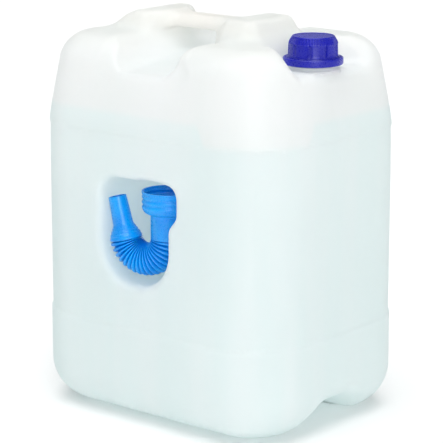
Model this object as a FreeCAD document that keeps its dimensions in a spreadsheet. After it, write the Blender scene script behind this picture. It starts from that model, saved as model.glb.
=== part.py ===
"""Stackable 20 litre jerry can with a screw cap and a stowed pouring spout.

Frame: +Z up, origin at the centre of the base, X along the broad front face,
the front face (with the spout pocket) towards -Y.  All sizes are in millimetres.
"""
import FreeCAD, Part
import math
import os
import re

import Sketcher
from FreeCAD import Placement, Rotation, Vector

# Driving dimensions: alias, value, what it is.
SIZES = [
    ("can_width", 290, "overall width along X"),
    ("can_depth", 232, "overall depth along Y"),
    ("can_height", 371, "height to the top of the handle"),
    ("shoulder_height", 353.5, "height of the four corner lobes"),
    ("taper_start", 272, "height where the walls start to lean in"),
    ("taper_inset", 16, "how far the walls lean in at the top"),
    ("corner_radius", 62, "vertical corners below the taper"),
    ("shoulder_corner_radius", 48, "vertical corners at the top"),
    ("foot_rounding", 38, "rounding along the bottom edge"),
    ("pad_height", 0.8, "feet, below the rest of the base"),
    ("pad_x", 75, "centre of each foot along X"),
    ("pad_y", 61, "centre of each foot along Y"),
    ("pad_length", 50, "feet along X"),
    ("pad_width", 22, "feet along Y"),
    ("shoulder_rounding", 22, "rounding along the top edge"),
    ("wall", 1.8, "wall of the blow moulding"),
    ("fill_clearance", 0.3, "gap between the wall and the liquid"),
    ("fill_level", 290, "height of the liquid surface"),
    ("valley_x", -4.5, "middle of the finger valley"),
    ("valley_floor", 325, "finger valley at the front and the back"),
    ("valley_width", 72, "finger valley at its floor"),
    ("valley_flare", 6, "how much wider each side of the valley is at the top"),
    ("valley_rounding", 14, "rounding along the sides of the valley floor"),
    ("saddle_height", 335, "floor of the valley under the grip"),
    ("saddle_length", 36, "level part of that floor, front to back"),
    ("saddle_foot_length", 170, "where the floor starts to rise, front to back"),
    ("grip_thickness", 13, "grip, top to bottom"),
    ("grip_height", 369, "top of the grip between the posts"),
    ("grip_width", 28, "grip, front to back"),
    ("left_post_x", -75, "centre of the left post of the handle"),
    ("left_post_width", 46, "left post along X"),
    ("right_post_x", 46, "centre of the right post of the handle"),
    ("right_post_width", 40, "right post along X"),
    ("post_depth", 72, "posts along Y"),
    ("post_base", 325, "where the posts start inside the shoulder"),
    ("post_spread", 20, "how much wider the posts are at their base"),
    ("post_radius", 14, "corners of the posts"),
    ("post_rounding", 8, "rounding along the top of the posts"),
    ("neck_x", 109, "axis of the filler neck"),
    ("ledge_height", 330, "ledge around the neck"),
    ("ledge_start", 76, "where the ledge starts along X"),
    ("ledge_depth", 74, "ledge along Y"),
    ("neck_radius", 19.3, "root of the neck thread"),
    ("neck_bore", 17.3, "inside of the neck"),
    ("neck_top", 356.2, "sealing rim of the neck"),
    ("bead_radius", 22.4, "bead that holds the tamper ring"),
    ("bead_height", 337.2, "underside of that bead"),
    ("bead_thickness", 1.4, "bead along Z"),
    ("thread_pitch", 5, "screw thread"),
    ("thread_height", 1.2, "thread ridge, out from its root"),
    ("thread_width", 1.6, "thread ridge along Z"),
    ("thread_bite", 0.4, "how deep a ridge is rooted in its wall"),
    ("neck_thread_start", 341.5, "first turn on the neck"),
    ("neck_thread_length", 8.5, "rise of the thread on the neck"),
    ("cap_thread_length", 6, "rise of the thread in the cap"),
    ("cap_radius", 22.6, "cap at its open end"),
    ("cap_shoulder_radius", 22.2, "cap where its side starts to lean in"),
    ("cap_top_radius", 18.8, "flat top of the cap"),
    ("cap_bore", 21, "root of the cap thread"),
    ("cap_end_bore", 18.8, "inside of the cap at its end wall"),
    ("cap_base", 341.4, "open end of the cap"),
    ("cap_shoulder", 354.5, "where the side of the cap starts to lean in"),
    ("cap_top", 360, "top of the cap"),
    ("cap_plate", 1.8, "end wall of the cap"),
    ("liner_radius", 18.4, "foam disc in the cap"),
    ("liner_thickness", 1.5, "foam disc"),
    ("seal_gap", 0.2, "liner above the rim of the neck"),
    ("ring_base", 334.4, "underside of the tamper ring"),
    ("ring_top", 341, "top of the tamper ring"),
    ("ring_radius", 27.2, "tamper ring, outside"),
    ("ring_edge", 0.8, "chamfer around the tamper ring"),
    ("ring_lip_bore", 21.5, "inner lip that hooks under the bead"),
    ("ring_bore", 22.9, "tamper ring around the bead"),
    ("ring_lip_height", 2.4, "inner lip along Z"),
    ("groove_width", 56, "stacking groove in the base, at its top"),
    ("groove_height", 26, "stacking groove"),
    ("groove_flare", 34, "how much wider the groove is at the base"),
    ("groove_rounding", 12, "rounding along the top of the groove"),
    ("pocket_depth", 52, "spout pocket, back from the front face"),
    ("pocket_draft", 4, "how much narrower each side is at the back"),
    ("pocket_x", -5.3, "centre of the pocket"),
    ("pocket_z", 183.5, "centre of the pocket above the base"),
    ("pocket_width", 80.6, "pocket along X"),
    ("pocket_length", 105, "pocket along Z"),
    ("pocket_radius", 30, "corners of the pocket"),
    ("cup_pocket_x", 19.8, "centre of the pocket's bay for the threaded cup"),
    ("cup_pocket_z", 213, "centre of that bay above the base"),
    ("cup_pocket_width", 49.6, "bay along X"),
    ("cup_pocket_length", 46, "bay along Z"),
    ("cup_pocket_radius", 14, "corners of the bay"),
    ("pocket_rounding", 8, "rounding around the back of the pocket"),
    ("spout_x", 14.35, "axis of the spout's threaded cup"),
    ("spout_setback", 25.3, "that axis behind the front face"),
    ("spout_turn", 192.5, "direction of the folded spout, degrees about Z"),
    ("cup_rim", 220.5, "mouth of the threaded cup"),
    ("cup_floor", 204, "inside floor of the threaded cup"),
    ("cup_radius", 23.2, "threaded cup, outside"),
    ("cup_bore", 21.6, "threaded cup, inside"),
    ("cup_thread_length", 7, "rise of the thread in the cup"),
    ("cup_cone", 5, "cone between the cup and its tube"),
    ("tube_radius", 15.2, "plain tube below the cup"),
    ("spout_wall", 1.2, "wall of the spout"),
    ("bend_height", 176, "centre of the folded bellows"),
    ("bend_radius", 21.8, "centreline of the folded bellows"),
    ("bellows_radius", 15.2, "bellows, outside"),
    ("bellows_bore", 12.7, "bellows, inside"),
    ("bend_angle", 167, "sweep of the folded bellows, degrees"),
    ("nozzle_flange_radius", 15, "foot of the nozzle"),
    ("nozzle_flange_height", 3, "foot of the nozzle, along its axis"),
    ("nozzle_cone_height", 9, "cone above the foot"),
    ("nozzle_radius", 7.6, "nozzle at its mouth"),
    ("nozzle_root_radius", 9, "nozzle above its cone"),
    ("nozzle_length", 37.5, "nozzle from foot to mouth"),
    ("nozzle_gap", 0.3, "clearance between the bellows and the nozzle"),
]

doc = FreeCAD.newDocument("JerryCan")
sheet = doc.addObject("Spreadsheet::Sheet", "Sizes")
for row, (alias, value, meaning) in enumerate(SIZES, start=1):
    sheet.set(f"A{row}", alias)
    sheet.set(f"B{row}", str(value))
    sheet.set(f"C{row}", meaning)
    sheet.setAlias(f"B{row}", alias)
doc.recompute()

VALUE = {alias: float(value) for alias, value, _ in SIZES}


def expression(text):
    """The text with each alias written as a cell of the sheet."""
    return re.sub(r"[a-z]\w*", lambda word: f"Sizes.{word[0]}" if word[0] in VALUE else word[0], text)


def number(text):
    """The value of an expression in the driving dimensions."""
    return float(sheet.evalExpression(text))


def bind(item, **formulas):
    """Tie properties of an object to the sheet, such as Length or Placement_Base_z."""
    for name, text in formulas.items():
        item.setExpression(name.replace("_", "."), expression(text))
    return item


def place(item, x="0", y="0", z="0"):
    return bind(item, Placement_Base_x=x, Placement_Base_y=y, Placement_Base_z=z)


def outline(name, width, depth, radius, z):
    """A rounded rectangle centred on the Z axis at the height z."""
    sketch = doc.addObject("Sketcher::SketchObject", name)
    a, b, r = number(width) / 2, number(depth) / 2, number(radius)
    signs = [(1, -1, -90), (1, 1, 0), (-1, 1, 90), (-1, -1, 180)]
    arcs = []
    for sign_x, sign_y, start in signs:
        x, y = sign_x * (a - r), sign_y * (b - r)
        circle = Part.Circle(Vector(x, y, 0), Vector(0, 0, 1), r)
        first, last = math.radians(start), math.radians(start + 90)
        arcs.append(sketch.addGeometry(Part.ArcOfCircle(circle, first, last), False))
    sides = []
    for arc, follower in zip(arcs, arcs[1:] + arcs[:1]):
        start = sketch.Geometry[arc].EndPoint
        end = sketch.Geometry[follower].StartPoint
        sides.append(sketch.addGeometry(Part.LineSegment(start, end), False))
    add = sketch.addConstraint
    for side, arc, follower in zip(sides, arcs, arcs[1:] + arcs[:1]):
        add(Sketcher.Constraint("Tangent", arc, 2, side, 1))
        add(Sketcher.Constraint("Tangent", side, 2, follower, 1))
    for side, direction in zip(sides, ("Vertical", "Horizontal") * 2):
        add(Sketcher.Constraint(direction, side))
    for arc in arcs[1:]:
        add(Sketcher.Constraint("Equal", arcs[0], arc))
    half_width, half_depth = f"({width}) / 2 - ({radius})", f"({depth}) / 2 - ({radius})"
    sizes = [
        (Sketcher.Constraint("Radius", arcs[0], r), radius),
        (Sketcher.Constraint("DistanceX", -1, 1, arcs[1], 3, a - r), half_width),
        (Sketcher.Constraint("DistanceY", -1, 1, arcs[1], 3, b - r), half_depth),
        (Sketcher.Constraint("DistanceX", arcs[3], 3, arcs[1], 3, 2 * (a - r)), f"2 * ({half_width})"),
        (Sketcher.Constraint("DistanceY", arcs[3], 3, arcs[1], 3, 2 * (b - r)), f"2 * ({half_depth})"),
    ]
    for constraint, text in sizes:
        sketch.setExpression(f"Constraints[{add(constraint)}]", expression(text))
    return place(sketch, z=z)


def loft(name, *outlines):
    """A solid with straight sides between rounded rectangles (width, depth, radius, z)."""
    solid = doc.addObject("Part::Loft", name)
    solid.Sections = [outline(f"{name}_{n}", *sizes) for n, sizes in enumerate(outlines)]
    solid.Solid = True
    solid.Ruled = True
    doc.recompute()
    return solid


def level(edge, z):
    box = edge.BoundBox
    return abs(box.ZMin - z) < 0.01 and abs(box.ZMax - z) < 0.01


def rounded(name, base, radius, chosen):
    """The base with the chosen edges rounded."""
    solid = doc.addObject("Part::Fillet", name)
    solid.Base = base
    size = number(radius)
    edges = [n for n, edge in enumerate(base.Shape.Edges, start=1) if chosen(edge)]
    solid.Edges = [(n, size, size) for n in edges]
    doc.recompute()
    return solid


def rounded_levels(base, *levels):
    """The base with its edges at some heights rounded: (height, radius), ..."""
    for n, (z, radius) in enumerate(levels):
        height = number(z)
        base = rounded(f"{base.Name}_round{n}", base, radius, lambda edge: level(edge, height))
    return base


def join(name, *items):
    result = doc.addObject("Part::MultiFuse", name)
    result.Shapes = list(items)
    doc.recompute()
    return result


def cut(name, base, *tools):
    for n, tool in enumerate(tools):
        result = doc.addObject("Part::Cut", name if n == len(tools) - 1 else f"{name}_{n}")
        result.Base, result.Tool = base, tool
        base = result
    doc.recompute()
    return base


def cylinder(name, radius, low, high, x="0", y="0"):
    item = doc.addObject("Part::Cylinder", name)
    bind(item, Radius=radius, Height=f"({high}) - ({low})")
    return place(item, x, y, low)


def recess(name, part, inset, depth):
    """A part of the spout pocket, sunk in the front face and narrower at its back."""
    grow = f"2 * ({inset})"
    mouth = (f"{part}_width + {grow}", f"{part}_length + {grow}", f"{part}_radius + ({inset})")
    narrower = ("2 * pocket_draft", "2 * pocket_draft", "pocket_draft")
    back = [f"{size} - {draft}" for size, draft in zip(mouth, narrower)]
    tool = loft(
        f"{name}_{part}",
        (*back, "0"),
        (*mouth, f"{depth} + ({inset})"),
        (*mouth, f"{depth} + ({inset}) + 10"),
    )
    tool = rounded_levels(tool, ("0", f"pocket_rounding + ({inset})"))
    tool.Placement = Placement(Vector(), Rotation(Vector(1, 0, 0), 90))
    return place(tool, f"{part}_x", f"{depth} + ({inset}) - can_depth / 2", f"{part}_z")


def moulding(name, inset):
    """The solid outline of the can, drawn in by an inset on every side."""
    shrink = f"2 * ({inset})"
    block = loft(
        f"{name}_block",
        (f"can_width - {shrink}", f"can_depth - {shrink}", f"corner_radius - ({inset})",
         f"pad_height + {inset}"),
        (f"can_width - {shrink}", f"can_depth - {shrink}", f"corner_radius - ({inset})", "taper_start"),
        (f"can_width - 2 * taper_inset - {shrink}", f"can_depth - 2 * taper_inset - {shrink}",
         f"shoulder_corner_radius - ({inset})", f"shoulder_height - ({inset})"),
    )
    block = rounded_levels(
        block,
        (f"pad_height + {inset}", f"foot_rounding - ({inset})"),
        (f"shoulder_height - ({inset})", f"shoulder_rounding - ({inset})"),
    )
    across = "can_depth + 40"
    valley = loft(
        f"{name}_valley",
        (f"valley_width + {shrink}", across, "20", f"valley_floor - ({inset})"),
        (f"valley_width + 2 * valley_flare + {shrink}", across, "20", "can_height + 20"),
    )
    valley = rounded_levels(valley, (f"valley_floor - ({inset})", "valley_rounding"))
    place(valley, "valley_x")
    saddle = loft(
        f"{name}_saddle",
        ("valley_width + 8", f"saddle_foot_length - {shrink}", "2", f"valley_floor - ({inset}) - 1"),
        ("valley_width + 8", f"saddle_length - {shrink}", "2", f"saddle_height - ({inset})"),
    )
    place(saddle, "valley_x")
    ledge_size = (f"can_width - 2 * ledge_start + {shrink}", f"ledge_depth + {shrink}", "16")
    ledge = loft(
        f"{name}_ledge",
        (*ledge_size, f"ledge_height - ({inset})"),
        (*ledge_size, "can_height + 20"),
    )
    place(ledge, "can_width / 2")
    block = cut(f"{name}_shoulder", block, valley, ledge)
    posts = []
    for side in ("left", "right"):
        width = f"{side}_post_width - {shrink}"
        post = loft(
            f"{name}_{side}_post",
            (f"{width} + post_spread", f"post_depth - {shrink} + post_spread", "post_radius", "post_base"),
            (width, f"post_depth - {shrink}", f"post_radius - ({inset})", f"can_height - ({inset})"),
        )
        post = rounded_levels(post, (f"can_height - ({inset})", f"post_rounding - ({inset})"))
        posts.append(place(post, f"{side}_post_x"))
    grip = doc.addObject("Part::Box", f"{name}_grip_block")
    bind(grip, Length="right_post_x - left_post_x", Width=f"grip_width - {shrink}",
         Height=f"grip_thickness - {shrink}")
    place(grip, "left_post_x", f"({inset}) - grip_width / 2", f"grip_height - grip_thickness + ({inset})")
    doc.recompute()
    rounding = f"grip_thickness / 2 - 1 - ({inset})"
    grip = rounded(f"{name}_grip", grip, rounding, lambda edge: edge.BoundBox.XLength > 1)
    whole = join(f"{name}_solid", block, saddle, *posts, grip)
    groove = loft(
        f"{name}_groove",
        ("can_width + 80", f"groove_width + groove_flare + {shrink}", "20", "-1"),
        ("can_width + 80", f"groove_width + {shrink}", "20", f"groove_height + ({inset})"),
    )
    groove = rounded_levels(groove, (f"groove_height + ({inset})", "groove_rounding"))
    pocket = recess(name, "pocket", inset, "pocket_depth")
    bay = recess(name, "cup_pocket", inset, "pocket_depth - 1")
    return cut(name, whole, groove, pocket, bay)


def profile(name, points, x="0", y="0"):
    """A closed outline in the XZ plane through points (distance from the axis, height)."""
    sketch = doc.addObject("Sketcher::SketchObject", name)
    corners = [Vector(number(r), number(z), 0) for r, z in points]
    for start, end in zip(corners, corners[1:] + corners[:1]):
        sketch.addGeometry(Part.LineSegment(start, end), False)
    count = len(points)
    for n, (r, z) in enumerate(points):
        sketch.addConstraint(Sketcher.Constraint("Coincident", (n - 1) % count, 2, n, 1))
        if corners[n].x == 0:
            sketch.addConstraint(Sketcher.Constraint("PointOnObject", n, 1, -2))
        else:
            index = sketch.addConstraint(Sketcher.Constraint("DistanceX", -1, 1, n, 1, corners[n].x))
            sketch.setExpression(f"Constraints[{index}]", expression(r))
        if corners[n].y == 0:
            sketch.addConstraint(Sketcher.Constraint("PointOnObject", n, 1, -1))
        else:
            index = sketch.addConstraint(Sketcher.Constraint("DistanceY", -1, 1, n, 1, corners[n].y))
            sketch.setExpression(f"Constraints[{index}]", expression(z))
    sketch.Placement = Placement(Vector(), Rotation(Vector(1, 0, 0), 90))
    return place(sketch, x, y)


def turned(name, points, x="0", y="0"):
    """A solid of revolution about the vertical through (x, y)."""
    solid = doc.addObject("Part::Revolution", name)
    solid.Source = profile(f"{name}_profile", points)
    solid.Axis = Vector(0, 0, 1)
    solid.Base = Vector(0, 0, 0)
    solid.Angle = 360
    solid.Solid = True
    doc.recompute()
    return solid if x == y == "0" else place(solid, x, y)


def ridge(name, root, outward, low, rise):
    """A thread ridge about the Z axis, standing out from the root radius or in from it."""
    sign = "1" if outward else "-1"
    helix = doc.addObject("Part::Helix", f"{name}_path")
    bind(helix, Radius=root, Pitch="thread_pitch", Height=rise)
    place(helix, z=low)
    foot, crest = f"({root}) - {sign} * thread_bite", f"({root}) + {sign} * thread_height"
    half = "thread_width / 2"
    points = [
        (foot, f"({low}) - {half}"), (crest, f"({low}) - {half} / 3"),
        (crest, f"({low}) + {half} / 3"), (foot, f"({low}) + {half}"),
    ]
    section = profile(f"{name}_section", points)
    doc.recompute()
    sweep = doc.addObject("Part::Sweep", name)
    sweep.Sections = [section]
    sweep.Spine = (helix, ["Edge1"])
    sweep.Solid = True
    sweep.Frenet = True
    doc.recompute()
    return sweep


def make_feet():
    """Four flat pads that the base stands on."""
    feet = []
    for end in ("-1", "1"):
        for side in ("-1", "1"):
            foot = doc.addObject("Part::Box", f"foot_{len(feet)}")
            bind(foot, Length="pad_length", Width="pad_width", Height="pad_height + wall / 2")
            place(foot, f"{end} * pad_x - pad_length / 2", f"{side} * pad_y - pad_width / 2")
            feet.append(foot)
    return feet


def make_can():
    """The blow-moulded can: one hollow piece with its handle and threaded neck."""
    outside = moulding("outside", "0")
    inside = moulding("inside", "wall")
    shell = cut("shell", outside, inside)
    neck = cylinder("neck_tube", "neck_radius", "ledge_height - wall / 2", "neck_top", "neck_x")
    bead = cylinder("neck_bead", "bead_radius", "bead_height", "bead_height + bead_thickness", "neck_x")
    thread = ridge("neck_thread", "neck_radius", True, "neck_thread_start", "neck_thread_length")
    place(thread, "neck_x")
    bore = cylinder("neck_hole", "neck_bore", "ledge_height - 10", "neck_top + 5", "neck_x")
    whole = join("can_with_neck", shell, neck, bead, thread, *make_feet())
    return cut("can_body", whole, bore)


def make_liquid():
    """The contents, just inside the wall and flat at the fill level."""
    inside = moulding("contents", "wall + fill_clearance")
    above = doc.addObject("Part::Box", "above_fill")
    bind(above, Length="can_width", Width="can_depth", Height="can_height")
    place(above, "-can_width / 2", "-can_depth / 2", "fill_level")
    return cut("liquid_fill", inside, above)


def make_cap():
    """The screw cap, with its thread in mesh with the neck's."""
    shape = turned("cap_blank", [
        ("0", "cap_top - cap_plate"), ("cap_end_bore", "cap_top - cap_plate"),
        ("cap_bore", "cap_shoulder + 0.3"), ("cap_bore", "cap_base"), ("cap_radius", "cap_base"),
        ("cap_shoulder_radius", "cap_shoulder"), ("cap_top_radius", "cap_top"), ("0", "cap_top"),
    ], "neck_x")
    low = "neck_thread_start + thread_pitch / 2"
    thread = ridge("cap_thread", "cap_bore", False, low, "cap_thread_length")
    place(thread, "neck_x")
    return join("screw_cap", shape, thread)


def make_liner():
    low = "neck_top + seal_gap"
    return cylinder("cap_liner", "liner_radius", low, f"{low} + liner_thickness", "neck_x")


def make_ring():
    """The tamper ring, held under the neck's bead by its inner lip."""
    lip = "ring_base + ring_lip_height"
    return turned("tamper_ring", [
        ("ring_lip_bore", "ring_base"), ("ring_radius - ring_edge", "ring_base"),
        ("ring_radius", "ring_base + ring_edge"), ("ring_radius", "ring_top - ring_edge"),
        ("ring_radius - ring_edge", "ring_top"), ("ring_bore", "ring_top"),
        ("ring_bore", lip), ("ring_lip_bore", lip),
    ], "neck_x")


def make_collar():
    """The threaded cup of the spout and the plain tube below it."""
    cup = turned("collar_blank", [
        ("tube_radius - spout_wall", "bend_height"), ("tube_radius", "bend_height"),
        ("tube_radius", "cup_floor - spout_wall - cup_cone"), ("cup_radius", "cup_floor - spout_wall"),
        ("cup_radius", "cup_rim"), ("cup_bore", "cup_rim"), ("cup_bore", "cup_floor"),
        ("tube_radius - spout_wall", "cup_floor - cup_cone"),
    ])
    thread = ridge("cup_thread", "cup_bore", False, "cup_floor + 3", "cup_thread_length")
    thread.Placement = Placement(Vector(), Rotation(Vector(0, 0, 1), 30))
    return join("spout_collar", cup, thread)


def make_bellows():
    """The folded bellows as a plain bent tube."""
    tori = []
    end = "bend_angle - nozzle_gap / bend_radius * 180 / pi"
    for part, radius in (("skin", "bellows_radius"), ("hole", "bellows_bore")):
        torus = doc.addObject("Part::Torus", f"bellows_{part}")
        bind(torus, Radius1="bend_radius", Radius2=radius, Angle3=end)
        tori.append(torus)
    bellows = cut("spout_bellows", *tori)
    centre = Vector(VALUE["bend_radius"], 0, VALUE["bend_height"])
    axes = Rotation(Vector(-1, 0, 0), Vector(0, 0, -1), Vector(0, -1, 0), "XYZ")
    bellows.Placement = Placement(centre, axes)
    return bellows


def make_nozzle():
    """The nozzle on the far end of the bellows, leaning with it."""
    neck_height = "nozzle_flange_height + nozzle_cone_height"
    nozzle = turned("spout_nozzle", [
        ("bellows_bore", "0"), ("nozzle_flange_radius", "0"),
        ("nozzle_flange_radius", "nozzle_flange_height"), ("nozzle_root_radius", neck_height),
        ("nozzle_radius", "nozzle_length"), ("nozzle_radius - spout_wall", "nozzle_length"),
        ("nozzle_root_radius - spout_wall", neck_height), ("bellows_bore", "nozzle_flange_height"),
    ])
    angle = math.radians(VALUE["bend_angle"])
    bend = VALUE["bend_radius"]
    foot = Vector(bend - bend * math.cos(angle), 0, VALUE["bend_height"] - bend * math.sin(angle))
    nozzle.Placement = Placement(foot, Rotation(Vector(0, 1, 0), 180 - VALUE["bend_angle"]))
    return nozzle


def stow(item):
    """Turn a piece of the spout out of its own frame to where the spout lies in the pocket."""
    corner = Vector(VALUE["spout_x"], VALUE["spout_setback"] - VALUE["can_depth"] / 2, 0)
    turn = Rotation(Vector(0, 0, 1), VALUE["spout_turn"])
    item.Placement = Placement(corner, turn).multiply(item.Placement)
    return item


pieces = [make_can(), make_liquid(), make_cap(), make_liner(), make_ring()]
pieces += [stow(piece) for piece in (make_collar(), make_bellows(), make_nozzle())]
for piece in pieces:
    piece.Label = piece.Name
doc.recompute()

for item in doc.Objects:
    if "Invalid" in item.State or "Error" in item.State:
        raise SystemExit(f"{item.Name} failed: {item.State}")
for piece in pieces:
    if piece.Shape.isNull() or not piece.Shape.isValid() or len(piece.Shape.Solids) != 1:
        raise SystemExit(f"{piece.Label} is not one valid solid: {len(piece.Shape.Solids)}")

os.makedirs("parts", exist_ok=True)
for piece in pieces:
    piece.Shape.exportStep(f"parts/{piece.Label}.step")
    print(f"{piece.Label}: {piece.Shape.Volume / 1000:.1f} cm3")
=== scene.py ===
"""Looks of a stackable, part-filled jerry can with a screw cap and a stowed bellows spout.

Shapes are worked out in millimetres in the frame of the CAD and scaled to metres as meshes.
"""

import math

import bpy
import numpy as np
import openvdb
from mathutils import Matrix, Vector


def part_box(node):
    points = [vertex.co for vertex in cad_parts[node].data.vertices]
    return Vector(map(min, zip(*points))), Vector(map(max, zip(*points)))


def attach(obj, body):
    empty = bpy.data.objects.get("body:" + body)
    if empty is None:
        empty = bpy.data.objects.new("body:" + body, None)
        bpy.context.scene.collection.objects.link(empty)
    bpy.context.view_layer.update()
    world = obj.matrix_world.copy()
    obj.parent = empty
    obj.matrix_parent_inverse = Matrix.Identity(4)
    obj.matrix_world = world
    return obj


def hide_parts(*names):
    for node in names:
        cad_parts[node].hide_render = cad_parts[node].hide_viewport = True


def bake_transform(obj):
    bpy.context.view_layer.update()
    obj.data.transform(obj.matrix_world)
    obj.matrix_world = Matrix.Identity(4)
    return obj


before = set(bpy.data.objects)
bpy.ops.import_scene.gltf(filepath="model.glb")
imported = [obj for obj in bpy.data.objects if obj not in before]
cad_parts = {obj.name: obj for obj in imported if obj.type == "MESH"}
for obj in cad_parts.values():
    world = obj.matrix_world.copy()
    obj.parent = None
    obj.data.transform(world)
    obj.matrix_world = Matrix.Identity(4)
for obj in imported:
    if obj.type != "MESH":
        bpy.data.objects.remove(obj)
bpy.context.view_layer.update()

TAU = 2 * math.pi


def box_of(node):
    """Centre and size of a CAD node in millimetres."""
    low, high = (np.array(corner) * 1000 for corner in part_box(node))
    return (low + high) / 2, high - low


# ---------------------------------------------------------------- distance fields

def meet(a, b, r):
    """Where both fields are inside, with the edge between them rounded."""
    u, v = np.maximum(r + a, 0), np.maximum(r + b, 0)
    return np.minimum(-r, np.maximum(a, b)) + np.sqrt(u * u + v * v)


def either(a, b, r):
    """Where one field or the other is inside, with the inner corner rounded."""
    return -meet(-a, -b, r)


def melt(a, b, k):
    """Two fields run together over a band."""
    h = np.clip(0.5 + 0.5 * (b - a) / k, 0, 1)
    return b * (1 - h) + a * h - k * h * (1 - h)


def rectangle(x, y, half_x, half_y, r):
    qx, qy = np.abs(x) - half_x + r, np.abs(y) - half_y + r
    outside = np.sqrt(np.maximum(qx, 0) ** 2 + np.maximum(qy, 0) ** 2)
    return np.minimum(np.maximum(qx, qy), 0) + outside - r


def ramp(start, end, x):
    t = np.clip((x - start) / (end - start), 0, 1)
    return t * t * (3 - 2 * t)


CAN_SIZE = box_of("can_body")[1]
WALL = 1.8
FILL_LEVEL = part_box("liquid_fill")[1].z * 1000
NECK_X = box_of("screw_cap")[0][0]
SHOULDER = 353.5
LEDGE = 330.0
BASE = 0.8


def handle(x, y, z):
    """Two cross arms joined by the bar that the hand holds, with a slot under the bar."""
    left_arm = rectangle(x + 75, y, 23, 36, 16)
    right_arm = rectangle(x - 46, y, 20, 35, 12)
    bar = rectangle(x + 10, y, 60, 14, 4)
    plan = either(either(bar, left_arm, 16), right_arm, 12)
    top = 368.2 + 2.8 * ramp(30, 45, np.abs(x + 8)) - 0.35 * np.maximum(-74 - x, 0)
    spread = 0.35 * np.maximum(0, 366 - z)
    solid = meet(plan - spread, z - top, 8)
    slot = meet(np.abs(x + 21) - 30, z - 356, 3)
    return meet(meet(solid, -slot, 5), 300 - z, 1)


def pocket(x, y, z):
    """The recess for the spout, with a bay at its upper right for the cup."""
    main = rectangle(x + 6.5, z - 180.75, 40.5, 49.75, np.where(z > 180.75, 18, 38))
    bay = rectangle(x - 19.3, z - 212.25, 24.3, 18.25, 12)
    depth = y + CAN_SIZE[1] / 2
    sides = either(main, bay, 7) + 0.077 * np.maximum(depth, 0)
    return meet(sides, np.abs(depth) - 52, 10)


def can(x, y, z):
    """The outside of the can, negative inside."""
    plan = rectangle(x, y, CAN_SIZE[0] / 2, CAN_SIZE[1] / 2, 62)
    above = z - 272
    lean = 0.1 * (above + np.sqrt(above * above + 100))
    panel = 1.2 * (ramp(90, 93, z) - ramp(268, 271, z))
    side = plan + lean + panel
    floor = 325.5 + 9.5 * (1 - ramp(18, 88, np.abs(y)))
    valley = meet(np.abs(x + 4.5) - (37.5 + 0.12 * (z - 345)), floor - z, 14)
    roof = meet(z - SHOULDER, -valley, 20 - 8 * ramp(-20, 10, x))
    body = meet(side, roof, 5 + 19 * ramp(30, 52, np.abs(x + 4.5)))
    body = meet(body, BASE - z, 40)
    fan = 0.75 * np.maximum(x - 94, 0) * (0.45 + 0.55 * np.clip((z - LEDGE) / 20, 0, 1))
    ledge = meet(rectangle(x - 152, np.maximum(np.abs(y) - fan, 0), 76, 37, 20), LEDGE - z, 6)
    body = meet(body, -ledge, 10)
    body = melt(body, handle(x, y, z), 12)
    height = np.clip(z, 0, 26)
    groove = meet(np.abs(y) - 26 - 0.6 * (26 - height), z - 26, 14)
    body = meet(body, -groove, 16)
    return meet(body, -pocket(x, y, z), 6)


def liquid(x, y, z):
    """The contents, a little inside the wall, with a small meniscus."""
    inside = can(x, y, z) + WALL + 0.4
    climb = 1.2 * ramp(-5, 0, inside)
    return meet(inside, z - FILL_LEVEL + 1.2 - climb, 1.2)


# ---------------------------------------------------------------- meshes

def slope(field, points):
    """The gradient of a field at some points."""
    step = 0.25
    columns = []
    for axis in range(3):
        shift = np.zeros(3)
        shift[axis] = step
        ahead, behind = points + shift, points - shift
        columns.append((field(*ahead.T) - field(*behind.T)) / (2 * step))
    return np.stack(columns, 1)


def skin(field, low, high, step, inward=False):
    """Points, quads and normals of the surface where a field is zero."""
    low = np.array(low, float)
    count = [int(math.ceil((b - a) / step)) + 1 for a, b in zip(low, high)]
    axes = [a + step * np.arange(n) for a, n in zip(low, count)]
    values = np.broadcast_to(field(*np.meshgrid(*axes, indexing="ij", sparse=True)), count)
    grid = openvdb.FloatGrid(background=3 * step)
    grid.copyFromArray(np.ascontiguousarray(np.clip(values, -3 * step, 3 * step), np.float32))
    points, quads = grid.convertToQuads(isovalue=0.0)
    points = points * step + low
    for _ in range(3):
        gradient = slope(field, points)
        size = (gradient ** 2).sum(1) + 1e-9
        points = points - gradient * np.clip(field(*points.T) / size, -step, step)[:, None]
    normals = slope(field, points)
    normals /= np.linalg.norm(normals, axis=1)[:, None] + 1e-9
    return (points, quads[:, ::-1], -normals) if inward else (points, quads, normals)


def tidy_quads(points, quads):
    """Quads with no repeated corner, over points with no doubles."""
    keys = np.round(points, 4)
    _, first, index = np.unique(keys, axis=0, return_index=True, return_inverse=True)
    faces = []
    for face in index.reshape(-1)[quads]:
        corners = list(dict.fromkeys(int(n) for n in face))
        if len(corners) > 2:
            faces.append(corners)
    return points[first], faces


def piece(name, points, faces, crease=40.0, normals=None):
    """A mesh object from points in millimetres."""
    mesh = bpy.data.meshes.new(name)
    mesh.from_pydata((np.asarray(points) / 1000).tolist(), [], [list(map(int, f)) for f in faces])
    mesh.polygons.foreach_set("use_smooth", np.ones(len(mesh.polygons), bool))
    if normals is None:
        mesh.set_sharp_from_angle(angle=math.radians(crease))
    else:
        mesh.normals_split_custom_set_from_vertices(normals.tolist())
    item = bpy.data.objects.new(name, mesh)
    bpy.context.scene.collection.objects.link(item)
    return item


def sheet_quads(rows, columns, close_rows, close_columns, offset=0):
    """Corner numbers of a grid of quads, row by row."""
    row = np.arange(rows if close_rows else rows - 1)
    column = np.arange(columns if close_columns else columns - 1)
    r, c = np.meshgrid(row, column, indexing="ij")
    r2, c2 = (r + 1) % rows, (c + 1) % columns
    quads = np.stack([r * columns + c, r * columns + c2, r2 * columns + c2, r2 * columns + c], -1)
    return quads.reshape(-1, 4) + offset


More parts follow.
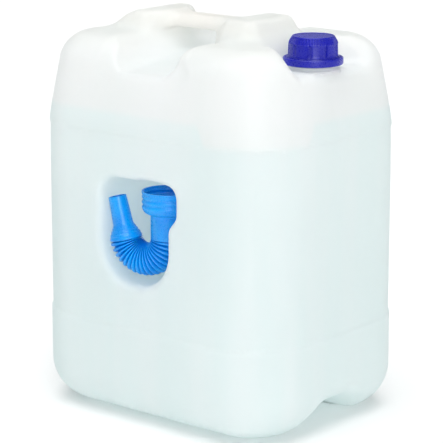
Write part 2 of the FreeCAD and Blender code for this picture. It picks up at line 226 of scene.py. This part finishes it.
def merged(*parts):
    """Several (points, faces) as one."""
    points, faces, start = [], [], 0
    for part_points, part_faces in parts:
        points.append(np.asarray(part_points))
        faces += [[int(n) + start for n in face] for face in part_faces]
        start += len(part_points)
    return np.concatenate(points), faces


def softened(corners, fine=6):
    """A closed outline (radius, height, rounding) with its corners rounded, as points."""
    count = len(corners)
    points = []
    for n in range(count):
        here = np.array(corners[n][:2], float)
        before = np.array(corners[n - 1][:2], float)
        after = np.array(corners[(n + 1) % count][:2], float)
        to_before, to_after = before - here, after - here
        lengths = np.linalg.norm(to_before), np.linalg.norm(to_after)
        reach = min(corners[n][2], 0.45 * min(lengths))
        if reach < 0.01 or here[0] == 0:
            points.append(here)
            continue
        a, b = here + to_before / lengths[0] * reach, here + to_after / lengths[1] * reach
        for t in np.linspace(0, 1, fine):
            points.append((1 - t) ** 2 * a + 2 * t * (1 - t) * here + t * t * b)
    return np.array(points)


def divided(outline, longest):
    """A closed outline with extra points, so that no step is longer than that."""
    points = []
    for a, b in zip(outline, np.roll(outline, -1, axis=0)):
        steps = max(1, int(math.ceil(np.linalg.norm(b - a) / longest)))
        points += [a + (b - a) * n / steps for n in range(steps)]
    return np.array(points)


def turned(outline, steps, shape=None):
    """A closed outline turned about the Z axis; shape(angle, r, z) may change r and z."""
    angle = np.arange(steps)[:, None] / steps * TAU
    r = np.broadcast_to(outline[None, :, 0], (steps, len(outline))).copy()
    z = np.broadcast_to(outline[None, :, 1], (steps, len(outline))).copy()
    if shape:
        r, z = shape(angle, r, z)
    points = np.stack([r * np.cos(angle), r * np.sin(angle), z], -1).reshape(-1, 3)
    return tidy_quads(points, sheet_quads(steps, len(outline), True, True))


def thread(root, outward, low, rise, pitch=5.0, height=1.2, width=1.7):
    """A thread ridge that fades in and out at its ends."""
    sign = 1 if outward else -1
    turns = rise / pitch
    t = np.linspace(0, 1, int(turns * 90) + 1)[:, None]
    angle = t * turns * TAU
    full = np.minimum(ramp(0, 0.35, t * turns), ramp(0, 0.35, (1 - t) * turns))
    section = np.array([(-0.5, -0.5), (0.85, -0.22), (1, 0), (0.85, 0.22), (-0.5, 0.5)])
    r = root + sign * height * (section[None, :, 0] * full - 0.15 * (1 - full))
    z = low + rise * t + width * section[None, :, 1]
    points = np.stack([r * np.cos(angle), r * np.sin(angle), z], -1).reshape(-1, 3)
    quads = sheet_quads(len(t), 5, False, True)
    quads = quads if outward else quads[:, ::-1]
    return points, quads[:, ::-1].tolist()


def shifted(part, x=0.0, y=0.0):
    """The part moved sideways."""
    return np.asarray(part[0]) + (x, y, 0.0), part[1]


# ---------------------------------------------------------------- the can

NECK_ROOT, NECK_BORE, NECK_TOP = 19.3, 17.3, 356.2
GRID_LOW, GRID_HIGH = (-149, -120, -4), (149, 120, 376)
FOOT_X, FOOT_Y = 75, 61


def neck():
    outline = softened([
        (NECK_BORE, 326.2, 0.5), (24.5, 327.4, 0), (24.5, LEDGE + 0.15, 0), (20.6, LEDGE + 0.9, 2.2),
        (NECK_ROOT, 337.2, 0.6), (22.4, 337.2, 0.3), (22.4, 338.2, 0.4), (NECK_ROOT, 339.2, 0.6),
        (NECK_ROOT, NECK_TOP, 0.6), (NECK_BORE, NECK_TOP, 0.5),
    ])
    tube = turned(divided(outline, 3), 120)
    return merged(tube, thread(NECK_ROOT, True, 341.5, 8.5))


def foot(x, y):
    """A low pad under the base."""
    rings = []
    steps = 64
    turn = np.arange(steps) / steps * TAU
    corner = np.stack([19 * np.sign(np.cos(turn)), 5 * np.sign(np.sin(turn))], 1)
    for r, z in ((5.2, 0.0), (5.8, 0.15), (6.0, 0.45), (6.0, BASE + 0.9)):
        around = corner + r * np.stack([np.cos(turn), np.sin(turn)], 1)
        rings.append(np.column_stack([around + (x, y), np.full(steps, z)]))
    faces = sheet_quads(len(rings), steps, False, True).tolist()
    bottom, top = range(steps), range((len(rings) - 1) * steps, len(rings) * steps)
    faces += [list(reversed(bottom)), list(top)]
    return np.concatenate(rings), faces


def make_can():
    """Both skins of the moulding, opened under the neck, the neck with its thread and the feet."""
    outer = skin(can, GRID_LOW, GRID_HIGH, 3.0)
    inner = skin(lambda x, y, z: can(x, y, z) + WALL, GRID_LOW, GRID_HIGH, 4.5, inward=True)
    parts, normals = [], []
    for points, quads, directions in (outer, inner):
        centre = points[quads].mean(1)
        under_neck = np.hypot(centre[:, 0] - NECK_X, centre[:, 1]) < 20.5
        keep = ~(under_neck & (centre[:, 2] > 320))
        parts.append((points, quads[keep]))
        normals.append(directions)
    tube_points, tube_faces = shifted(neck(), NECK_X)
    feet = [foot(x, y) for x in (-FOOT_X, FOOT_X) for y in (-FOOT_Y, FOOT_Y)]
    points, faces = merged(*parts, (tube_points, tube_faces), *feet)
    item = piece("can_shell", points, faces, crease=35)
    skin_normals = np.concatenate(normals)
    corner = np.empty(len(item.data.loops), np.int32)
    item.data.loops.foreach_get("vertex_index", corner)
    split = np.empty(len(item.data.loops) * 3, np.float32)
    item.data.corner_normals.foreach_get("vector", split)
    corner_normals = split.reshape(-1, 3).astype(float)
    on_skin = corner < len(skin_normals)
    corner_normals[on_skin] = skin_normals[corner[on_skin]]
    item.data.normals_split_custom_set(corner_normals.tolist())
    return item


def make_liquid():
    high = (*GRID_HIGH[:2], 300)
    points, quads, normals = skin(liquid, GRID_LOW, high, 4.5)
    return piece("liquid_inside", points, quads, normals=normals)


# ---------------------------------------------------------------- the cap and its ring

def make_cap():
    """A skirt in panels under a toothed shoulder and a flat top."""
    teeth, panel = 45, 360 / 9
    centre, size = box_of("screw_cap")
    base, top = centre[2] - size[2] / 2, centre[2] + size[2] / 2
    outline = softened([
        (0, top - 1.8, 0), (18.8, top - 1.8, 0.4), (21, 354.8, 0.6), (21, base, 0.3),
        (22.6, base, 0.4), (22.2, 354.5, 1.6), (19.2, top - 0.5, 0.5), (18.8, top, 0.35),
        (18.0, top, 0.2), (17.7, top - 0.35, 0.3), (0, top - 0.35, 0),
    ])
    outline = divided(outline, 0.7)

    def flutes(angle, r, z):
        outer = r > np.interp(z, (base, 354.5, top), (21.8, 21.6, 18.4))
        tooth = np.abs((angle * teeth / TAU) % 1 - 0.5) * 2
        toothed = ramp(353.2, 354.2, z) * (1 - ramp(358.4, 359.3, z))
        cut = 0.9 * toothed * ramp(0.3, 0.7, tooth)
        turn = ((angle / TAU * 360 + 60) / panel) % 1 * panel - panel / 2
        edge = np.abs(np.abs(turn) - panel / 2)
        skirt = ramp(base + 0.8, base + 1.6, z) * (1 - ramp(352.6, 353.4, z))
        flat = 22.4 * (1 - math.cos(math.radians(panel / 2)) / np.cos(np.radians(turn)))
        seam = 1.15 * (1 - ramp(1.4, 3.0, edge))
        ribs = sum(0.25 * (1 - ramp(0.3, 0.9, np.abs(edge - at))) for at in (4.2, 6.4))
        cut = cut + skirt * (0.3 * flat + seam - ribs)
        return r - np.where(outer, cut, 0), z

    inside = thread(21.0, False, 344.0, 6.0)
    shape = merged(turned(outline, 720, flutes), inside)
    return piece("cap_shell", *shifted(shape, centre[0], centre[1]), crease=32)


def make_liner():
    centre, size = box_of("cap_liner")
    low, high, r = centre[2] - size[2] / 2, centre[2] + size[2] / 2, size[0] / 2
    outline = softened([
        (0, low + 0.25, 0), (16.6, low + 0.25, 0.3), (17.0, low, 0.3), (r, low, 0.5),
        (r, high, 0.5), (0, high, 0),
    ])
    return piece("foam_disc", *shifted(turned(divided(outline, 2), 96), centre[0], centre[1]))


def make_ring():
    """A band with a raised inner lip and a sunk upper face, crossed by fins."""
    fin_count = 24
    centre, size = box_of("tamper_ring")
    low, high, r = centre[2] - size[2] / 2, centre[2] + size[2] / 2, size[0] / 2
    outline = softened([
        (21.5, low, 0.4), (r - 1.0, low, 0.6), (r - 0.1, low + 0.9, 0.6), (r, high - 0.7, 0.5),
        (r - 0.6, high, 0.4), (r - 1.3, high, 0.4), (r - 1.9, high - 1.5, 0.4), (24.2, high - 1.5, 0.4),
        (23.8, high + 0.7, 0.3), (22.95, high + 0.7, 0.3), (22.9, low + 2.4, 0.3), (21.5, low + 2.4, 0.4),
    ])

    def fins(angle, r_now, z):
        sunk = (r_now > 24.0) & (r_now < r - 1.0) & (z > high - 2)
        fin = 1 - ramp(0.1, 0.16, np.abs((angle * fin_count / TAU) % 1 - 0.5))
        return r_now, np.where(sunk, z + np.minimum(1.2 * fin, high - 0.2 - z), z)

    shape = turned(divided(outline, 0.8), 480, fins)
    return piece("cap_band", *shifted(shape, centre[0], centre[1]), crease=32)


# ---------------------------------------------------------------- the spout

COLLAR = box_of("spout_collar")[0]
SPOUT_TURN = math.radians(192.5)
ALONG = np.array([math.cos(SPOUT_TURN), math.sin(SPOUT_TURN), 0])
ACROSS = np.array([-math.sin(SPOUT_TURN), math.cos(SPOUT_TURN), 0])
BEND_HEIGHT, BEND_RADIUS, BEND_ANGLE = 176.0, 21.8, math.radians(167)
CUP_RIM, CUP_RADIUS, TUBE_RADIUS = 220.5, 23.2, 15.2


def stowed(part):
    """From the spout's own frame, with the cup's axis as Z, to its place in the pocket."""
    points = np.asarray(part[0])
    x, y, z = points.T[:, :, None]
    placed = np.array([COLLAR[0], COLLAR[1], 0]) + x * ALONG + y * ACROSS + z * np.array([0, 0, 1])
    return placed, part[1]


def make_collar():
    """The blown cup, with its thread showing through the wall, and the tube below it."""
    wall = 1.2
    outer = [
        (TUBE_RADIUS, BEND_HEIGHT, 0), (TUBE_RADIUS, 198.6, 1.6), (20.4, 200.2, 2.5),
        (CUP_RADIUS - 0.2, 204.6, 2.6), (CUP_RADIUS - 0.2, CUP_RIM - 1.8, 0.4),
        (CUP_RADIUS, CUP_RIM - 1.4, 0.4), (CUP_RADIUS, CUP_RIM, 0.5),
    ]
    inner = [
        (CUP_RADIUS - 1.6, CUP_RIM, 0.5), (CUP_RADIUS - 1.6, 205.2, 1.8),
        (20.0, 201.6, 2.2), (TUBE_RADIUS - wall, 199.8, 1.2), (TUBE_RADIUS - wall, BEND_HEIGHT, 0),
    ]
    outline = divided(softened(outer + inner), 0.6)

    def blown(angle, r, z):
        within = ramp(204.6, 206.6, z) * (1 - ramp(CUP_RIM - 3.6, CUP_RIM - 2.2, z))
        wave = 0.5 + 0.5 * np.cos(TAU * (z / 5.0) - angle)
        r = r - within * 0.95 * (1 - wave) ** 1.5
        return r, z

    return piece("spout_cup", *stowed(turned(outline, 180, blown)), crease=50)


def make_bellows():
    """A folded tube, its folds fanned out round the bend."""
    folds, fine, around = 18, 12, 96
    end = BEND_ANGLE - 0.3 / BEND_RADIUS
    turn = np.linspace(0, end, folds * fine + 1)[:, None]
    phase = np.abs((turn / end * folds + 0.5) % 1 - 0.5) * 2
    crest = 1 - (1 - phase) ** 2.2
    side = np.arange(around)[None, :] / around * TAU

    def tube(radius):
        reach = BEND_RADIUS - radius * np.cos(side)
        x = BEND_RADIUS - reach * np.cos(turn)
        z = BEND_HEIGHT - reach * np.sin(turn)
        y = radius * np.sin(side) + 0 * turn
        return np.stack([x, y, z], -1).reshape(-1, 3)

    outer = 11.6 + 3.6 * crest
    rows = len(turn)
    points = np.concatenate([tube(outer), tube(outer - 0.9)])
    outside = sheet_quads(rows, around, False, True)
    inside = outside[:, ::-1] + rows * around
    first, last = np.arange(around), (rows - 1) * around + np.arange(around)
    ends = []
    for ring, flip in ((first, False), (last, True)):
        nearby = np.roll(ring, -1)
        rim = np.stack([ring, ring + rows * around, nearby + rows * around, nearby], -1)
        ends.append(rim[:, ::-1] if flip else rim)
    faces = np.concatenate([outside, inside, *ends])
    return piece("spout_folds", *stowed((points, faces)), crease=60)


def make_nozzle():
    """The plain nozzle with a stepped foot, leaning with the end of the bend."""
    outer = [
        (12.7, 0, 0), (14.6, 0, 0.4), (15.0, 1.4, 0.6), (14.0, 3.6, 0.5), (13.9, 5.0, 0.4),
        (12.6, 6.6, 0.5), (12.4, 8.0, 0.4), (11.2, 9.4, 0.5), (10.9, 10.6, 0.4), (9.4, 13.2, 1.4),
        (8.3, 39.2, 0.3), (8.2, 40, 0.3),
    ]
    inner = [(7.2, 40, 0.3), (7.2, 38.8, 0.3), (8.2, 13.2, 1.2), (12.7, 3.2, 0.5)]
    points, faces = turned(divided(softened(outer + inner), 1.2), 120)
    lean = math.pi - BEND_ANGLE
    foot_x = BEND_RADIUS - BEND_RADIUS * math.cos(BEND_ANGLE)
    foot_z = BEND_HEIGHT - BEND_RADIUS * math.sin(BEND_ANGLE)
    x, y, z = points.T
    leaning = np.stack([
        foot_x + x * math.cos(lean) + z * math.sin(lean), y,
        foot_z - x * math.sin(lean) + z * math.cos(lean),
    ], -1)
    return piece("spout_nozzle_shell", *stowed((leaning, faces)), crease=35)


# ---------------------------------------------------------------- materials

def material(name):
    """A new material, its node tree and its Principled shader."""
    made = bpy.data.materials.new(name)
    made.use_nodes = True
    return made, made.node_tree, made.node_tree.nodes["Principled BSDF"]


def node(tree, kind, inputs=None, **settings):
    """A node with some settings; inputs are values or sockets, by name or number."""
    made = tree.nodes.new(kind)
    for name, value in settings.items():
        setattr(made, name, value)
    for key, value in (inputs or {}).items():
        if isinstance(value, bpy.types.NodeSocket):
            tree.links.new(value, made.inputs[key])
        else:
            made.inputs[key].default_value = value
    return made


def place(tree):
    """Where a point is on its own piece, in metres."""
    return node(tree, "ShaderNodeTexCoord").outputs["Object"]


def noise(tree, where, scale, detail=2.0):
    made = node(tree, "ShaderNodeTexNoise",
                {"Vector": where, "Scale": scale, "Detail": detail, "Roughness": 0.5})
    return made.outputs["Fac"]


def fit(tree, value, low, high, to_low, to_high):
    """A value carried smoothly from one range to another, and held at its ends."""
    made = node(tree, "ShaderNodeMapRange", {
        "Value": value, "From Min": low, "From Max": high, "To Min": to_low, "To Max": to_high,
    }, interpolation_type="SMOOTHSTEP")
    return made.outputs["Result"]


def maths(tree, kind, a, b=0.0):
    """One sum on two values or sockets."""
    return node(tree, "ShaderNodeMath", {0: a, 1: b}, operation=kind).outputs[0]


def mix(tree, share, a, b):
    """A colour between two others."""
    made = node(tree, "ShaderNodeMix", {0: share, 6: a, 7: b}, data_type="RGBA")
    return made.outputs[2]


def bump(tree, height, distance, normal=None):
    inputs = {"Height": height, "Distance": distance, "Strength": 1.0}
    if normal:
        inputs["Normal"] = normal
    return node(tree, "ShaderNodeBump", inputs).outputs["Normal"]


def rgb(red, green, blue):
    """A colour from screen values of 0 to 255."""
    values = [c / 255 for c in (red, green, blue)]
    linear = [c / 12.92 if c <= 0.04045 else ((c + 0.055) / 1.055) ** 2.4 for c in values]
    return (*linear, 1.0)


def polyethylene():
    """Milky natural plastic, tinted where the liquid stands behind it, with a painted highlight at the front
    right corner where the tint starts lower.
    """
    made, tree, shader = material("natural_polyethylene")
    where = place(tree)
    parts = node(tree, "ShaderNodeSeparateXYZ", {0: where})
    height = parts.outputs["Z"]
    level = FILL_LEVEL / 1000
    streaks = node(tree, "ShaderNodeMapping", {"Vector": where, "Scale": (34.0, 34.0, 3.0)})
    cloud = fit(tree, noise(tree, streaks.outputs[0], 1.0, 3.0), 0.3, 0.7, 0.0, 1.0)
    dry = mix(tree, cloud, (0.97, 0.97, 0.967, 1), (0.99, 0.985, 0.985, 1))
    wet = mix(tree, cloud, (0.93, 0.966, 0.966, 1), (0.958, 0.978, 0.98, 1))
    # At the front right corner the tint starts up to 17 mm below the liquid line: a painted highlight
    # standing for the light reflected off the sloping shoulder there. The other three corners don't have it.
    toward_painted_highlight = maths(tree, "SUBTRACT", parts.outputs["X"], parts.outputs["Y"])
    corner = fit(tree, toward_painted_highlight, 0.178, 0.196, 0.0, 0.017)
    ripple = maths(tree, "MULTIPLY", noise(tree, where, 14.0), 0.002)
    level_with_painted_highlight = maths(tree, "ADD", maths(tree, "ADD", height, corner), ripple)
    filled = fit(tree, level_with_painted_highlight, level - 0.004, level + 0.004, 1.0, 0.0)
    dry = mix(tree, fit(tree, height, 0.335, 0.362, 0.0, 1.0), dry, (0.975, 0.968, 0.952, 1))
    colour = mix(tree, filled, dry, wet)
    tree.links.new(colour, shader.inputs["Base Color"])
    tree.links.new(fit(tree, noise(tree, where, 35.0, 4.0), 0.3, 0.7, 0.3, 0.42), shader.inputs["Roughness"])
    seam = fit(tree, maths(tree, "ABSOLUTE", parts.outputs["Y"]), 0.0002, 0.0009, 1.0, 0.0)
    surface = bump(tree, seam, 0.00005)
    surface = bump(tree, noise(tree, where, 700.0, 2.0), 0.00003, surface)
    surface = bump(tree, noise(tree, where, 28.0, 2.0), 0.0007, surface)
    tree.links.new(surface, shader.inputs["Normal"])
    shader.inputs["IOR"].default_value = 1.5
    through = node(tree, "ShaderNodeBsdfTranslucent", {"Color": colour, "Normal": surface})
    both = node(tree, "ShaderNodeMixShader", {0: 0.68, 1: shader.outputs[0], 2: through.outputs[0]})
    tree.links.new(both.outputs[0], tree.nodes["Material Output"].inputs["Surface"])
    return made


def liquid_material():
    made, tree, shader = material("tinted_liquid")
    where = place(tree)
    colour = mix(tree, noise(tree, where, 6.0), (0.965, 0.99, 0.985, 1), (0.975, 0.995, 0.99, 1))
    tree.links.new(colour, shader.inputs["Base Color"])
    tree.links.new(fit(tree, noise(tree, where, 20.0), 0.3, 0.7, 0.04, 0.09), shader.inputs["Roughness"])
    shader.inputs["IOR"].default_value = 1.33
    clear = node(tree, "ShaderNodeBsdfTransparent", {"Color": colour})
    both = node(tree, "ShaderNodeMixShader", {0: 0.12, 1: clear.outputs[0], 2: shader.outputs[0]})
    tree.links.new(both.outputs[0], tree.nodes["Material Output"].inputs["Surface"])
    return made


def moulded(name, dark, light, rough, grain, lines=0.0, scatter=0.0):
    """Coloured plastic with a slight cloudiness, a fine grain and optional mould lines."""
    made, tree, shader = material(name)
    where = place(tree)
    cloud = fit(tree, noise(tree, where, 45.0, 3.0), 0.3, 0.7, 0.0, 1.0)
    tree.links.new(mix(tree, cloud, dark, light), shader.inputs["Base Color"])
    speckle = noise(tree, where, 900.0, 2.0)
    tree.links.new(fit(tree, speckle, 0.3, 0.7, rough - 0.05, rough + 0.07), shader.inputs["Roughness"])
    surface = bump(tree, speckle, grain)
    if lines:
        bands = node(tree, "ShaderNodeTexWave", {"Vector": where, "Scale": 330.0, "Distortion": 0.6},
                     bands_direction="Z")
        surface = bump(tree, bands.outputs["Fac"], lines, surface)
    tree.links.new(surface, shader.inputs["Normal"])
    shader.inputs["IOR"].default_value = 1.5
    if scatter:
        shader.inputs["Subsurface Weight"].default_value = scatter
        shader.inputs["Subsurface Radius"].default_value = (0.4, 0.8, 1.0)
        shader.inputs["Subsurface Scale"].default_value = 0.0015
    return made


def foam():
    made, tree, shader = material("foam_liner")
    where = place(tree)
    cells = node(tree, "ShaderNodeTexVoronoi", {"Vector": where, "Scale": 1400.0})
    colour = mix(tree, cells.outputs["Distance"], rgb(238, 238, 234), rgb(246, 246, 243))
    tree.links.new(colour, shader.inputs["Base Color"])
    tree.links.new(bump(tree, cells.outputs["Distance"], 0.0001), shader.inputs["Normal"])
    shader.inputs["Roughness"].default_value = 0.85
    return made


# ---------------------------------------------------------------- assembly

POLYETHYLENE = polyethylene()
CAP_BLUE = moulded("cap_blue", rgb(5, 11, 152), rgb(9, 18, 170), 0.3, 0.00001, lines=0.00004)
SPOUT_BLUE = moulded("spout_blue", rgb(0, 138, 226), rgb(0, 157, 238), 0.3, 0.000015, scatter=0.35)

PIECES = [
    (make_can, POLYETHYLENE, "can", ["can_body"], "natural_polyethylene"),
    (make_liquid, liquid_material(), "can", ["liquid_fill"], "tinted_liquid"),
    (make_cap, CAP_BLUE, "cap", ["screw_cap"], "cap_blue"),
    (make_liner, foam(), "liner", ["cap_liner"], "foam_liner"),
    (make_ring, CAP_BLUE, "ring", ["tamper_ring"], "cap_blue"),
    (make_collar, SPOUT_BLUE, "spout", ["spout_collar"], "spout_blue"),
    (make_bellows, SPOUT_BLUE, "", ["spout_bellows"], "spout_blue"),
    (make_nozzle, SPOUT_BLUE, "nozzle", ["spout_nozzle"], "spout_blue"),
]

for make, finish, body, nodes, slot in PIECES:
    item = make()
    item.data.materials.append(finish)
    if body:
        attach(item, body)
    else:
        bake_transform(item)
    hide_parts(*nodes)


# ---------------------------------------------------------------- floor, light and camera

def make_floor():
    half = 9000
    corners = [(-half, -half, 0), (half, -half, 0), (half, half, 0), (-half, half, 0)]
    item = piece("floor", corners, [(0, 1, 2, 3)])
    made, tree, shader = material("floor_paper")
    where = place(tree)
    colour = mix(tree, noise(tree, where, 3.0), (0.93, 0.93, 0.93, 1), (0.95, 0.95, 0.95, 1))
    tree.links.new(colour, shader.inputs["Base Color"])
    shader.inputs["Roughness"].default_value = 0.9
    item.data.materials.append(made)


def make_light():
    world = bpy.data.worlds.new("studio")
    world.use_nodes = True
    background = world.node_tree.nodes["Background"]
    background.inputs["Color"].default_value = (1, 1, 1, 1)
    background.inputs["Strength"].default_value = 0.4
    bpy.context.scene.world = world

    def lamp(name, kind, azimuth, elevation, energy, **settings):
        light = bpy.data.lights.new(name, kind)
        light.energy = energy
        for key, value in settings.items():
            setattr(light, key, value)
        item = bpy.data.objects.new(name, light)
        a, e = math.radians(azimuth), math.radians(elevation)
        toward = Vector((math.sin(a) * math.cos(e), -math.cos(a) * math.cos(e), math.sin(e)))
        item.location = toward * 2.5 + Vector((0, 0, 0.18))
        item.rotation_mode = "QUATERNION"
        item.rotation_quaternion = toward.to_track_quat("Z", "Y")
        bpy.context.scene.collection.objects.link(item)

    lamp("overhead", "SUN", 20, 84, 2.15, angle=math.radians(60))
    lamp("key", "SUN", 47, 16, 1.16, angle=math.radians(30))
    lamp("softbox", "AREA", 52, 24, 2.0, size=0.9)


def make_camera():
    """The camera at the height and angle of a person looking slightly down on the can."""
    azimuth, pitch, distance = math.radians(40.08), math.radians(13.30), 1998.8
    focal = 2118.4 / 443
    right = Vector((math.cos(azimuth), math.sin(azimuth), 0))
    level = math.cos(pitch)
    back = Vector((math.sin(azimuth) * level, -math.cos(azimuth) * level, math.sin(pitch)))
    up = back.cross(right)
    camera = bpy.data.cameras.new("camera")
    camera.sensor_width = 36
    camera.lens = focal * camera.sensor_width
    camera.shift_x, camera.shift_y = 0.0040, 0.0048
    camera.clip_start, camera.clip_end = 0.1, 60
    item = bpy.data.objects.new("camera", camera)
    spot = (back * distance + Vector((0, 0, 171))) / 1000
    item.matrix_world = Matrix((
        (right.x, up.x, back.x, spot.x), (right.y, up.y, back.y, spot.y),
        (right.z, up.z, back.z, spot.z), (0, 0, 0, 1),
    ))
    bpy.context.scene.collection.objects.link(item)
    bpy.context.scene.camera = item


make_floor()
make_light()
make_camera()
bpy.context.scene.view_settings.view_transform = "Standard"
# Light wanders between the milky walls many times before it leaves the can.
paths = bpy.context.scene.cycles
paths.max_bounces, paths.diffuse_bounces, paths.transparent_max_bounces = 24, 20, 24
